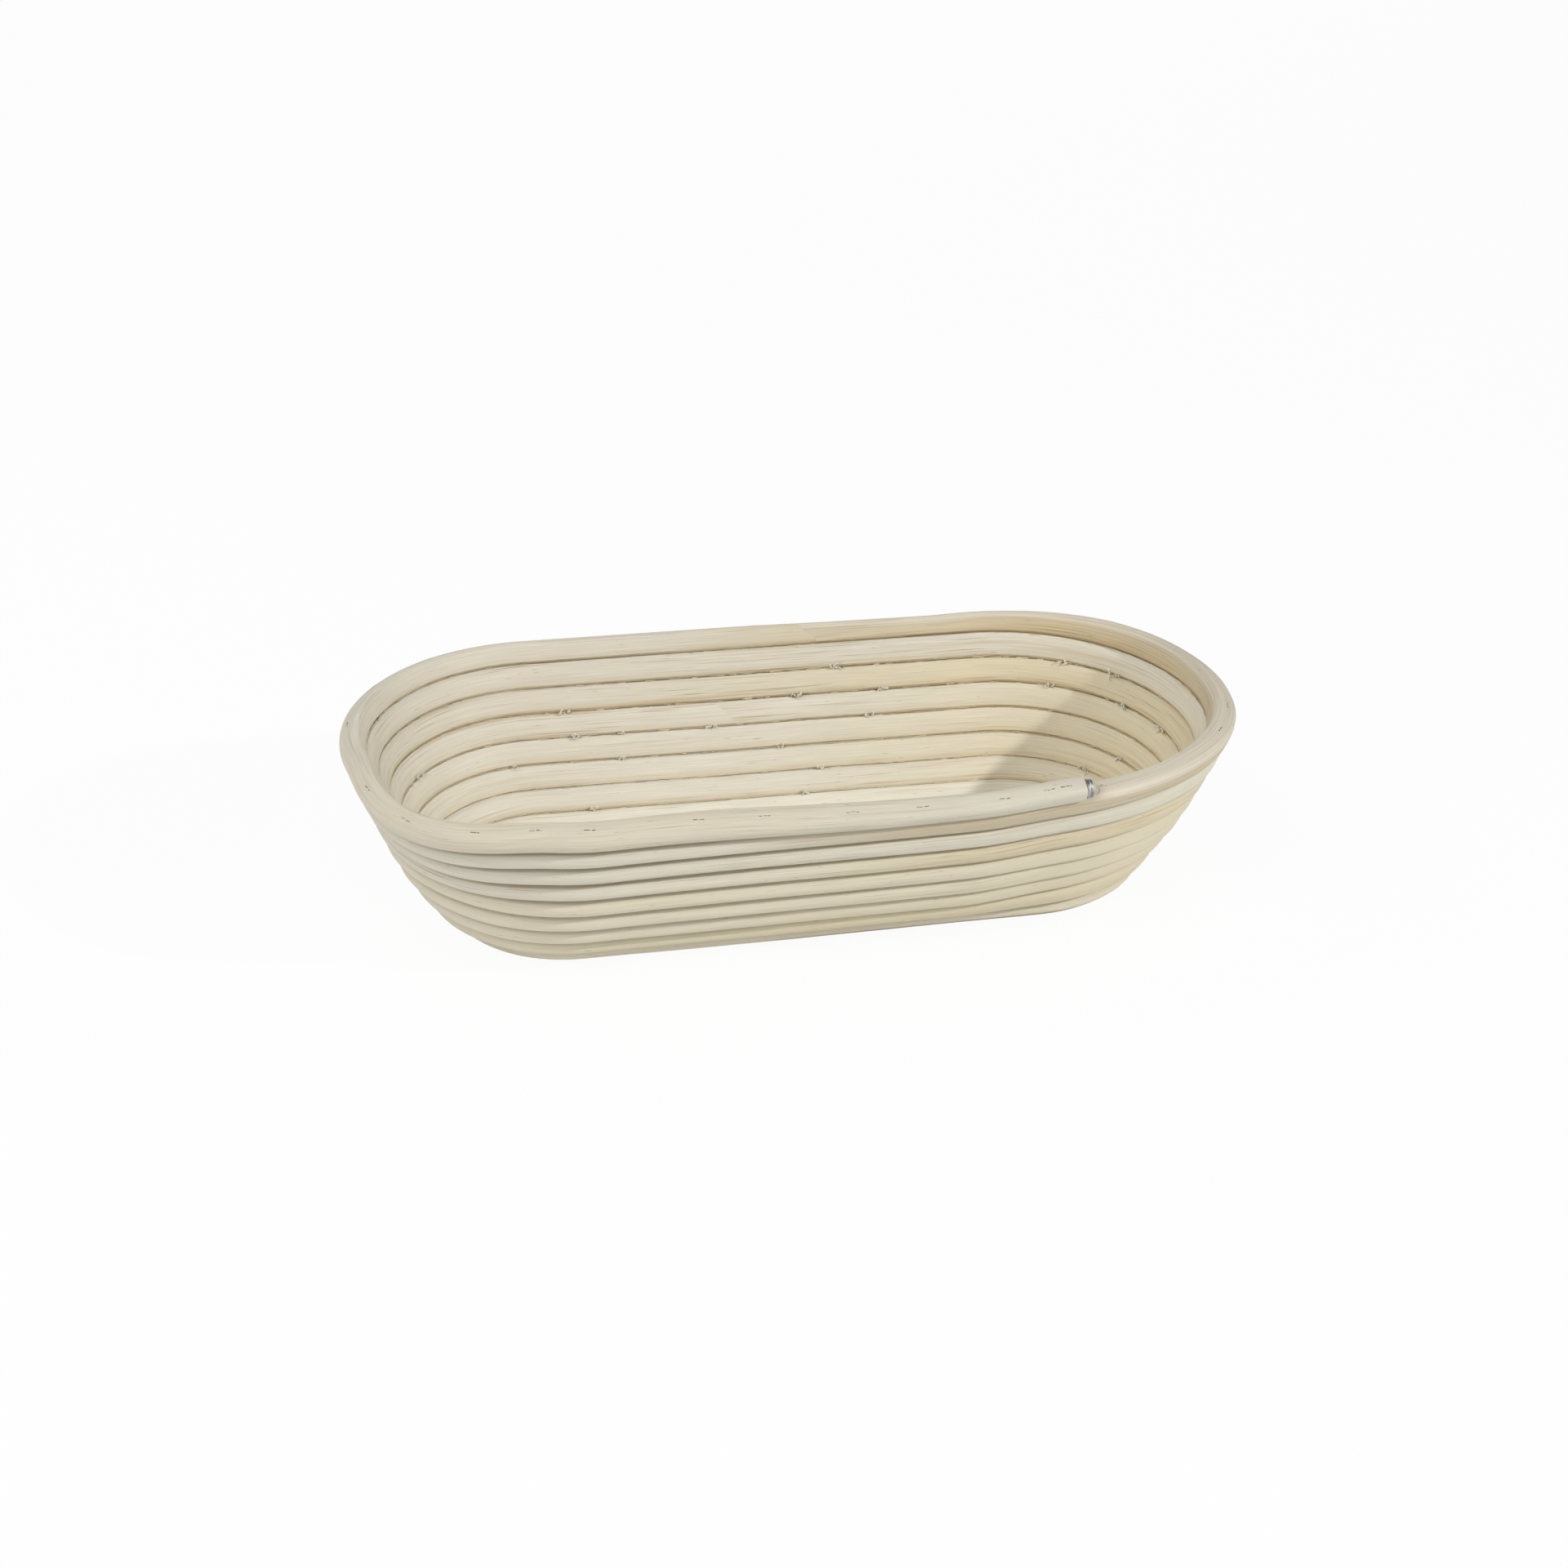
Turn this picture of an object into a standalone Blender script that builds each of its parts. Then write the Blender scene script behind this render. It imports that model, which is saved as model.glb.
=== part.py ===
"""A long proofing basket, wound from round cane and stapled along its rim.

One coil runs from the middle of the floor outward and up to the rim. It is made of four lengths of cane
that meet in slanted scarf joints. Wire staples hold the rim turn down on the turn below it, and a steel
ferrule caps the cut end. Metres, +Z up, the long sides along X and the cut end at the front right. The
origin is on the underside of the floor, in the middle of the innermost strand.

Places along the coil are counts of turns from its inner end, where each long side and each round end
takes a quarter of a turn. Seen from above, the coil runs counter-clockwise.
"""
import math
from collections import namedtuple

import bmesh
import bpy
import numpy as np
from mathutils import Matrix, Vector

# Cane and coil
CANE = 0.0095  # thickness of the cane
TURN_GAP = 0.0006  # from one turn to the next
STRAIGHT = 0.181  # straight stretch of each long side
FLOOR_TURNS = 2.75
CORNER_TURNS = 2.0
BEND_TURNS = 3.5
WALL_TURNS = 4.0
KNEE_SLOPE = math.radians(48)  # where the corner becomes the wall
WALL_SLOPE = math.radians(65)
FOOT_CUT = 0.00095  # depth of the flat that the floor stands on, from the round of the cane
ARC_STEPS = 14  # facets of each round end
# Thickness of the last turn against the rest of the cane, by turns back from the end of the coil
RIM_THICKNESS = ((0.0, 0.8), (0.06, 0.87), (0.19, 1.06), (0.27, 1.04), (0.35, 0.98), (0.45, 0.93),
                 (0.55, 0.89), (0.64, 0.87), (0.7, 0.78), (0.8, 0.8), (0.92, 0.83), (1.0, 1.0))

# Stretches where the wall leans out from the plain oval, or in where the angle is below zero: their middle
# and half length as shares of a turn, the angle, and the turns over which the lean builds up
Lean = namedtuple("Lean", "middle half angle first turns")
LEANS = (
    Lean(0.928, 0.05, math.radians(10), 8.2, 4.0),  # front left, where the rim flares
    Lean(0.28, 0.085, math.radians(-13), 4.2, 2.0),  # front right
)

# Lengths of cane, in turns back from the cut end; the first length is the rest of the coil
RIM_REED_TURNS = 0.66
UPPER_REED_TURNS = 2.95
LOWER_REED_TURNS = 4.0
SCARF_LENGTH = 0.0095  # run of the slanted cut along the cane
JOINT_GAP = 0.0003

# Cut end and its ferrule
END_PAST_SIDE = 0.001  # how far the cut end lies past the long side
RIM_LEAN = math.radians(13)  # lean of the rim's last stretch, out over the turn below
LEAN_START = 0.163  # from the end of the long side
LEAN_RUN = 0.1  # stretch over which the lean comes in
LEAN_STEPS = 8
FERRULE_LENGTH = 0.0025
FERRULE_DIAMETER = 0.0078
FERRULE_WALL = 0.0004
FERRULE_SIDES = 32
TIP_LENGTH = 0.0035  # pared tip past the ferrule
TIP_SHARE = 0.4  # thickness of the tip against the full cane
SEAT_GAP = 0.0003  # between pieces that touch

# Wire staples
STAPLE_WIDTH = 0.005
WIRE = 0.0008
CROWN_SINK = 0.0002  # crown below the top of the cane
STAPLE_BITE = 0.0045  # depth of the legs in the turn below
BACK_STAPLES = 12  # spread evenly between the front's and the right end's
# Distances back along the rim from the cut end, over the front and the left end
FRONT_STAPLES = (0.008, 0.015, 0.033, 0.065, 0.092, 0.126, 0.151, 0.192, 0.211, 0.233, 0.262, 0.288, 0.338)
# Distances on past the cut end, along the turn below, over the right end
RIGHT_STAPLES = (0.0086, 0.08, 0.101)

PITCH = CANE + TURN_GAP
TURNS = FLOOR_TURNS + CORNER_TURNS + BEND_TURNS + WALL_TURNS
HALF_STRAIGHT = STRAIGHT / 2
CORNER_RADIUS = CORNER_TURNS * PITCH / KNEE_SLOPE
BEND_RADIUS = BEND_TURNS * PITCH / (WALL_SLOPE - KNEE_SLOPE)
FLOOR_HEIGHT = CANE / 2 - FOOT_CUT

Profile = namedtuple("Profile", "reach height slope")
Place = namedtuple("Place", "point outward slope")


def clamp(value, top):
    return min(max(value, 0.0), top)


def profile(turn):
    """How far out and up the coil's middle line lies at a count of turns, and how steeply it climbs."""
    along = turn * PITCH
    floor = min(along, FLOOR_TURNS * PITCH)
    corner = clamp(along - floor, CORNER_TURNS * PITCH)
    bend = clamp(along - floor - corner, BEND_TURNS * PITCH)
    wall = along - floor - corner - bend
    corner_slope = corner / CORNER_RADIUS
    bend_slope = KNEE_SLOPE + bend / BEND_RADIUS
    reach = PITCH / 8 + floor
    reach += CORNER_RADIUS * math.sin(corner_slope)
    reach += BEND_RADIUS * (math.sin(bend_slope) - math.sin(KNEE_SLOPE))
    reach += wall * math.cos(WALL_SLOPE)
    height = FLOOR_HEIGHT
    height += CORNER_RADIUS * (1 - math.cos(corner_slope))
    height += BEND_RADIUS * (math.cos(KNEE_SLOPE) - math.cos(bend_slope))
    height += wall * math.sin(WALL_SLOPE)
    return Profile(reach, height, corner_slope + bend_slope - KNEE_SLOPE)


def rim_lean(turn):
    """How far the coil leans out at a count of turns: not at all, except near the cut end."""
    share = clamp(((turn - TURNS) * 4 * STRAIGHT + LEAN_START) / LEAN_RUN, 1.0)
    return RIM_LEAN * share * share * (3 - 2 * share)


def wall_lean(turn, lean):
    """How far the wall leans out at a count of turns, in one of the leaning stretches."""
    off = (turn - lean.middle + 0.5) % 1 - 0.5
    share = max(0.0, 1 - (off / lean.half) ** 2)
    return lean.angle * share * share


def cane_share(turn):
    """Thickness of the cane at a count of turns, against the full cane."""
    back, shares = zip(*RIM_THICKNESS)
    return float(np.interp(TURNS - turn, back, shares, right=1.0))


def wall_way(outward, slope):
    return outward * math.cos(slope) + Vector((0, 0, math.sin(slope)))


def coil_place(turn):
    """Point on the coil's middle line, the way out from the basket there, and the wall's slope."""
    quarter = math.floor(turn * 4)
    share = turn * 4 - quarter
    first = profile(quarter / 4).reach
    last = profile((quarter + 1) / 4).reach
    here = profile(turn)
    side = quarter % 4
    facing = -1 if side < 2 else 1  # the front and right, then the back and left
    if side % 2 == 0:
        outward = Vector((0, facing, 0))
        x = -facing * HALF_STRAIGHT * (2 * share - 1)
        y = facing * (first + (last - first) * share)
    else:
        angle = math.pi * (facing / 2 + share)
        outward = Vector((math.cos(angle), math.sin(angle), 0))
        radius = (first + last) / 2
        x = -facing * HALF_STRAIGHT + radius * outward.x
        y = -facing * (last - first) / 2 + radius * outward.y
    point = Vector((x, y + PITCH / 4, here.height))
    slope = here.slope
    leans = [(rim_lean(turn), 1.0)]
    leans += [(wall_lean(turn, lean), clamp(turn - lean.first, lean.turns)) for lean in LEANS]
    for angle, turns in leans:
        point += (wall_way(outward, here.slope - angle) - wall_way(outward, here.slope)) * PITCH * turns
        slope -= angle * min(turns, 1.0)
    # Thin cane rests on the turn below, as thick cane does
    point += wall_way(outward, slope) * (cane_share(turn) - 1) * CANE / 2
    return Place(point, outward, slope)


def up_the_wall(place):
    """From one turn's middle line toward the turn above it."""
    return wall_way(place.outward, place.slope)


def along_cane(turn):
    """The way the cane runs at a count of turns."""
    step = 1e-4
    return (coil_place(turn + step).point - coil_place(turn - step).point).normalized()


def turns_per_metre(turn):
    step = 1e-4
    return 2 * step / (coil_place(turn + step).point - coil_place(turn - step).point).length


def coil_marks(first, last):
    """Counts of turns from first to last: the ends of the long sides, steps round each end, and the lean."""
    lean_marks = [LEAN_START - LEAN_RUN * step / LEAN_STEPS for step in range(LEAN_STEPS + 1)]
    marks = [TURNS - back / (4 * STRAIGHT) for back in lean_marks]
    for quarter in range(math.floor(first * 4), math.ceil(last * 4)):
        steps = ARC_STEPS if quarter % 2 else 1
        marks += [(quarter + step / steps) / 4 for step in range(steps)]
    # A mark too near an end would be overrun by the slanted cut there
    low = first + SCARF_LENGTH * turns_per_metre(first)
    high = last - SCARF_LENGTH * turns_per_metre(last)
    return [first, *(mark for mark in sorted(marks) if low < mark < high), last]


def link(name, mesh, material=None):
    obj = bpy.data.objects.new(name, mesh)
    bpy.context.scene.collection.objects.link(obj)
    if material:
        mesh.materials.append(material)
    return obj


def finish_mesh(name, bm):
    """Turn a bmesh into a mesh with welded seams and faces that point out."""
    bmesh.ops.remove_doubles(bm, verts=bm.verts, dist=1e-7)
    bmesh.ops.recalc_face_normals(bm, faces=bm.faces)
    mesh = bpy.data.meshes.new(name)
    bm.to_mesh(mesh)
    bm.free()
    return mesh


def cane_tube(name, stations):
    """Six-sided tube through (point, tilt, thickness) stations, its edges toward the turns beside it."""
    curve = bpy.data.curves.new(name, "CURVE")
    curve.dimensions = "3D"
    curve.twist_mode = "Z_UP"
    curve.bevel_depth = CANE / 2
    curve.bevel_resolution = 1
    curve.use_fill_caps = True
    spline = curve.splines.new("POLY")
    spline.points.add(len(stations) - 1)
    for spot, (point, tilt, thickness) in zip(spline.points, stations):
        spot.co = (*point, 1)
        spot.tilt = tilt
        spot.radius = thickness
    guide = bpy.data.objects.new(name, curve)
    bpy.context.scene.collection.objects.link(guide)
    graph = bpy.context.evaluated_depsgraph_get()
    tube = bpy.data.meshes.new_from_object(guide.evaluated_get(graph))
    bm = bmesh.new()
    bm.from_mesh(tube)
    bpy.data.objects.remove(guide)
    bpy.data.curves.remove(curve)
    bpy.data.meshes.remove(tube)
    return bm


def tilt_at(place):
    return -place.slope


def slant_end(bm, turn):
    """Slide the corners of an end along the cane, so that it is cut on a slant up the wall."""
    place = coil_place(turn)
    along = along_cane(turn)
    across = up_the_wall(place)
    for vert in bm.verts:
        reach = vert.co - place.point
        if abs(reach.dot(along)) < JOINT_GAP and reach.length < CANE:
            vert.co += along * reach.dot(across) * SCARF_LENGTH / CANE


def reed(name, first, last, material, slant_first=True, slant_last=True, tail=()):
    """One length of cane along the coil, with half the gap of a scarf joint left at each slanted end."""
    slant = math.hypot(1, CANE / SCARF_LENGTH) * JOINT_GAP / 2
    if slant_first:
        first += slant * turns_per_metre(first)
    if slant_last:
        last -= slant * turns_per_metre(last)
    marks = coil_marks(first, last)
    places = [coil_place(mark) for mark in marks]
    stations = [(place.point, tilt_at(place), cane_share(mark)) for place, mark in zip(places, marks)]
    bm = cane_tube(name, [*stations, *tail])
    if slant_first:
        slant_end(bm, first)
    if slant_last:
        slant_end(bm, last)
    return link(name, finish_mesh(name, bm), material)


def cut(obj, cutter):
    """Take a cutter's shape out of a piece."""
    cutter.hide_render = True
    cutter.display_type = "WIRE"
    boolean = obj.modifiers.new(cutter.name, "BOOLEAN")
    boolean.operation = "DIFFERENCE"
    boolean.object = cutter


def end_stations(neck_share):
    """The pared neck that takes the ferrule, and the tip that drops toward the turn below."""
    place = coil_place(RIM_END)
    along = along_cane(RIM_END)
    tilt = tilt_at(place)
    neck = FERRULE_LENGTH + 2 * SEAT_GAP
    drop = up_the_wall(place) * (neck_share - TIP_SHARE) * CANE / 2
    tip = place.point + along * (neck + TIP_LENGTH) - drop
    shoulder = place.point + along * SEAT_GAP / 2
    return [(shoulder, tilt, neck_share), (place.point + along * neck, tilt, neck_share), (tip, tilt, TIP_SHARE)]


def ferrule(outer, inner, material):
    """Sheet steel ring on the pared neck."""
    place = coil_place(RIM_END)
    along = along_cane(RIM_END)
    bm = bmesh.new()
    rings = []
    for radius in (inner, outer):
        ring = bmesh.ops.create_circle(bm, segments=FERRULE_SIDES, radius=radius)["verts"]
        rings += {edge for vert in ring for edge in vert.link_edges}
    band = bmesh.ops.bridge_loops(bm, edges=rings)["faces"]
    grown = bmesh.ops.extrude_face_region(bm, geom=band)["geom"]
    lifted = [item for item in grown if isinstance(item, bmesh.types.BMVert)]
    bmesh.ops.translate(bm, verts=lifted, vec=(0, 0, FERRULE_LENGTH))
    turn = along.to_track_quat("Z", "Y").to_matrix().to_4x4()
    shift = Matrix.Translation(place.point + along * SEAT_GAP * 1.5)
    bmesh.ops.transform(bm, matrix=shift @ turn, verts=bm.verts)
    return link("end_ferrule", finish_mesh("end_ferrule", bm), material)


def add_staple(bm, turn, spare, rise):
    """A staple at a count of turns: a flat U whose legs go down the wall. Spare is added on each side."""
    place = coil_place(turn)
    up = up_the_wall(place)
    along = along_cane(turn)
    across = along.cross(up)
    radius = cane_share(turn) * CANE / 2
    top = radius - CROWN_SINK
    tip = -radius - TURN_GAP - STAPLE_BITE - spare
    arch = top - WIRE - spare
    outside = STAPLE_WIDTH / 2 + spare
    inside = STAPLE_WIDTH / 2 - WIRE - spare
    outline = [(-outside, top + rise), (-outside, tip), (-inside, tip), (-inside, arch),
               (inside, arch), (inside, tip), (outside, tip), (outside, top + rise)]
    back = place.point - across * (WIRE / 2 + spare)
    face = bm.faces.new([bm.verts.new(back + along * x + up * y) for x, y in outline])
    grown = bmesh.ops.extrude_face_region(bm, geom=[face])["geom"]
    front = [item for item in grown if isinstance(item, bmesh.types.BMVert)]
    bmesh.ops.translate(bm, verts=front, vec=across * (WIRE + 2 * spare))


def staple_turns():
    """Counts of turns of all staples, from the front right round to the right end."""
    turns = np.linspace(RIM_END, RIM_END - 1, 1441)
    points = np.array([coil_place(turn).point for turn in turns])
    walk = np.concatenate([[0], np.cumsum(np.linalg.norm(np.diff(points, axis=0), axis=1))])
    right = [walk[-1] - past for past in reversed(RIGHT_STAPLES)]
    gap = right[0] - FRONT_STAPLES[-1]
    back = [FRONT_STAPLES[-1] + gap * place / (BACK_STAPLES + 1) for place in range(1, BACK_STAPLES + 1)]
    return [float(np.interp(spot, walk, turns)) for spot in (*FRONT_STAPLES, *back, *right)]


def print_least_gap():
    """Least gap between passes of the coil that lie a quarter turn or more apart."""
    turns = np.arange(0, RIM_END, 1 / 160)
    points = np.array([coil_place(turn).point for turn in turns])
    apart = np.linalg.norm(points[:, None] - points[None], axis=2)
    apart[np.abs(turns[:, None] - turns[None]) < 0.2499] = np.inf
    shares = np.array([cane_share(turn) for turn in turns])
    apart -= (shares[:, None] + shares[None]) * CANE / 2
    print(f"least gap of the coil to itself: {apart.min() * 1000:.2f} mm")


def make_material(name, colour, roughness, metallic=0.0):
    material = bpy.data.materials.new(name)
    material.use_nodes = True
    material.diffuse_color = (*colour, 1)
    surface = material.node_tree.nodes["Principled BSDF"]
    surface.inputs["Base Color"].default_value = (*colour, 1)
    surface.inputs["Roughness"].default_value = roughness
    surface.inputs["Metallic"].default_value = metallic
    return material


for old in list(bpy.data.objects):
    bpy.data.objects.remove(old)

RIM_END = TURNS + END_PAST_SIDE * turns_per_metre(TURNS)
RIM_JOINT = TURNS - RIM_REED_TURNS
UPPER_JOINT = RIM_JOINT - UPPER_REED_TURNS
LOWER_JOINT = UPPER_JOINT - LOWER_REED_TURNS

pale_cane = make_material("pale_cane", (0.71, 0.64, 0.49), 0.55)
cream_cane = make_material("cream_cane", (0.66, 0.57, 0.40), 0.55)
tan_cane = make_material("tan_cane", (0.58, 0.46, 0.30), 0.55)
floor_cane = make_material("floor_cane", (0.62, 0.54, 0.38), 0.6)
steel = make_material("steel", (0.56, 0.55, 0.53), 0.35, 1.0)

ferrule_inner = FERRULE_DIAMETER / 2 - FERRULE_WALL
neck_share = (ferrule_inner - SEAT_GAP) / (CANE / 2)

base_reed = reed("base_reed", 0.0, LOWER_JOINT, floor_cane, slant_first=False)
lower_wall_reed = reed("lower_wall_reed", LOWER_JOINT, UPPER_JOINT, cream_cane)
upper_wall_reed = reed("upper_wall_reed", UPPER_JOINT, RIM_JOINT, tan_cane)
rim_reed = reed("rim_reed", RIM_JOINT, RIM_END, pale_cane, slant_last=False, tail=end_stations(neck_share))
ferrule(FERRULE_DIAMETER / 2, ferrule_inner, steel)

# The floor is planed flat underneath
plane_bm = bmesh.new()
floor_span = Vector((STRAIGHT, 0, 0)) + Vector((1, 1, 0)) * 2 * profile(FLOOR_TURNS + CORNER_TURNS).reach
plane_size = floor_span + Vector((0, 0, 2 * CANE))
bmesh.ops.create_cube(plane_bm, size=1, matrix=Matrix.LocRotScale((0, 0, -CANE), None, plane_size))
cut(base_reed, link("floor_plane", finish_mesh("floor_plane", plane_bm)))

# Staples, and the slots that they are driven into
slots_bm = bmesh.new()
for number, turn in enumerate(staple_turns(), 1):
    staple_bm = bmesh.new()
    add_staple(staple_bm, turn, 0.0, 0.0)
    staple_name = f"rim_staple_{number:02d}"
    link(staple_name, finish_mesh(staple_name, staple_bm), steel)
    add_staple(slots_bm, turn, SEAT_GAP, CROWN_SINK + SEAT_GAP)
slots = link("staple_slots", finish_mesh("staple_slots", slots_bm))
cut(rim_reed, slots)
cut(upper_wall_reed, slots)

print_least_gap()
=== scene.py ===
"""Looks of a long proofing basket: a coil of round cane with wire staples and a ferrule on its cut end.

The coil follows the same formula as the solids. Each of the four lengths of cane is swept along it as a
slightly uneven tube, pressed flat on the inside, and carries its own map: metres along the cane, and
turns round it. Wire staples sit in torn slots along the rim, and loose fibres stand up in the inside
grooves between the turns.
"""
import math
import random
from collections import namedtuple

import bmesh
import bpy
import numpy as np
from mathutils import Matrix, Vector, noise


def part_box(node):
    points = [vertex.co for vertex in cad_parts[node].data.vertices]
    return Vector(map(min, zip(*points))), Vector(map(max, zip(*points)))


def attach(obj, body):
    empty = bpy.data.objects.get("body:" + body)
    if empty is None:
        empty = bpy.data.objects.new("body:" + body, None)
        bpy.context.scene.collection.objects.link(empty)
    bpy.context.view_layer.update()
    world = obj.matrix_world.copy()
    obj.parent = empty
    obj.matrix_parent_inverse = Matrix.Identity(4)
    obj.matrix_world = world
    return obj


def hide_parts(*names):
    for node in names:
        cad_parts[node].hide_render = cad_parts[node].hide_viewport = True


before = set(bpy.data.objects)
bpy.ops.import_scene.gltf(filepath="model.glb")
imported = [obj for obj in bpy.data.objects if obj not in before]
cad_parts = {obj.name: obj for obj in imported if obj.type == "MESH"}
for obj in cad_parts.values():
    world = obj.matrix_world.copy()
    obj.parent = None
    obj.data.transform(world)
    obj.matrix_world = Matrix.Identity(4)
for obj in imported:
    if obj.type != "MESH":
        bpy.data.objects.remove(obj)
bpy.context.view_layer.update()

# Cane and coil, as in the solids
CANE = 0.0095
TURN_GAP = 0.0006
PITCH = CANE + TURN_GAP
STRAIGHT = 0.181
FLOOR_TURNS = 2.75
CORNER_TURNS = 2.0
BEND_TURNS = 3.5
WALL_TURNS = 4.0
TURNS = FLOOR_TURNS + CORNER_TURNS + BEND_TURNS + WALL_TURNS
KNEE_SLOPE = math.radians(48)
WALL_SLOPE = math.radians(65)
PLANED = 0.00095  # taken off the underside, so that it stands flat
FLOOR_HEIGHT = CANE / 2 - PLANED
CORNER_RADIUS = CORNER_TURNS * PITCH / KNEE_SLOPE
BEND_RADIUS = BEND_TURNS * PITCH / (WALL_SLOPE - KNEE_SLOPE)
RIM_LEAN = math.radians(13)
LEAN_START = 0.163
LEAN_RUN = 0.1
RIM_JOINT = TURNS - 0.66
UPPER_JOINT = RIM_JOINT - 2.95
LOWER_JOINT = UPPER_JOINT - 4.0
END_PAST_SIDE = 0.001
END_RADIUS = 0.0856  # of the rim's middle line, round the right-hand end
# Thickness of the rim's solid, by turns back from its end
RIM_THICKNESS = ((0.0, 0.8), (0.06, 0.87), (0.19, 1.06), (0.27, 1.04), (0.35, 0.98), (0.45, 0.93),
                 (0.55, 0.89), (0.64, 0.87), (0.7, 0.78), (0.8, 0.8), (0.92, 0.83), (1.0, 1.0))
# Thickness of the finished rim, by the same count back from its end
RIM_FULLNESS = ((0.0, 0.8), (0.06, 0.87), (0.19, 1.06), (0.27, 1.04), (0.35, 0.97), (0.43, 0.92),
                (0.5, 0.89), (0.63, 0.86), (0.68, 0.8), (0.73, 0.77), (0.77, 0.83), (0.81, 1.0),
                (0.87, 1.02), (0.92, 0.94), (0.96, 0.86), (0.985, 0.93), (1.0, 1.0))
Lean = namedtuple("Lean", "middle half angle first turns")
LEANS = (
    Lean(0.928, 0.05, math.radians(10), 8.2, 4.0),
    Lean(0.28, 0.085, math.radians(-13), 4.2, 2.0),
)

# Wire staples and ferrule, as in the solids
STAPLES = 28
STAPLE_WIDTH = 0.005
WIRE = 0.0008
FERRULE_LENGTH = 0.0025
FERRULE_RADIUS = 0.0039
FERRULE_WALL = 0.0004
SEAT_GAP = 0.0003
TIP_LENGTH = 0.0035
TIP_RADIUS = 0.0019
# Half of the ferrule's outer line: rise over its radius, and share of its length
FERRULE_BEAD = ((-0.00025, 0.0), (-0.00005, 0.08), (0.0, 0.22), (-0.00005, 0.36), (-0.00028, 0.46))
FERRULE_STEPS = 48
FERRULE_SHARP = math.radians(50)

# The cane's fine shape
REED_RADIUS = 0.00507  # full, so that the turns touch
REED_SIDES = 24
STATION_STEP = 0.003
SCARF_LENGTH = 0.0105
SCARF_FADE = 0.02
NOSE_LENGTH = 0.0046
NOSE_SHARES = (1.0, 0.93, 0.75, 0.45)
NOSE_BLUNTNESS = 0.12
CANE_SHARP = math.radians(42)
UNEVEN_THICKNESS = 0.012  # as a share
UNEVEN_RUN = 0.06
UNEVEN_TURN = 0.7  # how far the noise moves on with each turn
UNEVEN_SLICE = 3.1
FLUTE_DEPTH = 0.00007
FLUTE_RUN = 0.025
FLUTE_ROUND = 1.7
FLUTE_TURN = 7.0
SWAY = 0.0003
SWAY_RUN = 0.055
SWAY_SEED = 4  # without a seed of its own, the sway would differ from run to run
# Power of the section's outline, where 2 is round: pressed flat on the inside, and on the outside about
# round at the left and flatter at the right
INSIDE_SQUARENESS = 5.0
OUTSIDE_SQUARENESS = 1.85
RIGHT_SQUARENESS = 3.4
SQUARER_FROM = -0.3  # as a share of the straight side, from its middle

# Torn slots over the staples, as ranges to draw from
SLOT_SEED = 11
SLOT_START = (0.0, 0.0008)
SLOT_RUN = (0.0008, 0.0024)
SLOT_WIDTH = (0.00022, 0.00044)
SLOT_RISE = (-0.0001, 0.0003)
SLOT_SHIFT = (-0.00015, 0.00015)
SLOT_TWIST = (-0.12, 0.12)
SLOT_BRIDGE = (0.0003, 0.0009)
SHORTEST_SLOT = 0.0004
SLOT_HEIGHT = 0.004
SEARCH_STEPS = 721
CROWN_TOP = WIRE * 0.3  # points this close to a staple's top belong to its crown

# Fibres and wire in the inside grooves, as ranges to draw from; a reach is from where the turns touch
GROOVE_SEED = 5
FIRST_GROOVE = 0.6
SPIKE_STEPS = 4
SPIKE_SIDES = 4
THREAD_SPACING = (0.001, 0.009)
THREAD_REACH = (0.0034, 0.0041)
THREAD_LENGTH = (0.0012, 0.006)
THREAD_WIDTH = (0.00025, 0.0005)
THREAD_BEND = (-0.25, 0.25)
FIRST_BURR = 0.02
BURR_SPACING = (0.03, 0.12)
BURR_SIZE = (0.7, 1.3)
BURR_SPREAD = (-0.002, 0.002)
UNSEEN_SIDE = 0.36  # share of each turn, from the front left on, whose inside the photo doesn't show
CURLS = (5, 7)
CURL_REACH = (0.0043, 0.005)
CURL_LENGTH = (0.002, 0.0036)
CURL_WIDTH = (0.00045, 0.0007)
CURL_BEND = (3.0, 6.0)
SHREDS = (1, 3)
SHRED_REACH = (0.0043, 0.0047)
SHRED_LENGTH = (0.0006, 0.0014)
SHRED_WIDTH = (0.0003, 0.0006)
SHRED_BEND = (-0.6, 0.6)
WIRE_SHARE = 0.35
WIRE_SIDES = 8
WIRE_RADIUS = WIRE * 0.4
WIRE_REACH = (0.0039, 0.0043)
WIRE_LENGTH = (0.0012, 0.003)
# Tufts in the inside grooves, by count of turns, and their size
BURRS = (
    (4.6, 0.8), (4.72, 1.0), (5.43, 1.1), (5.59, 0.8), (6.41, 1.0), (6.61, 0.9), (6.7, 0.8), (6.76, 0.8),
    (7.56, 0.8), (7.65, 0.9), (7.7, 0.7), (7.725, 1.0), (7.82, 1.7), (8.39, 1.2), (8.42, 1.4), (8.46, 0.9),
    (8.55, 0.8), (8.6, 1.0), (8.73, 0.9), (9.43, 1.4), (9.455, 0.9), (9.575, 1.1),
)

Place = namedtuple("Place", "point outward slope")
Station = namedtuple("Station", "metres point along up out radius pressed")
Length = namedtuple("Length", "name slot first last")


def clamp(value, top=1.0):
    return min(max(value, 0.0), top)


def ease(value):
    """Smooth step from 0 to 1."""
    share = clamp(value)
    return share * share * (3 - 2 * share)


# The coil's middle line

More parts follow.
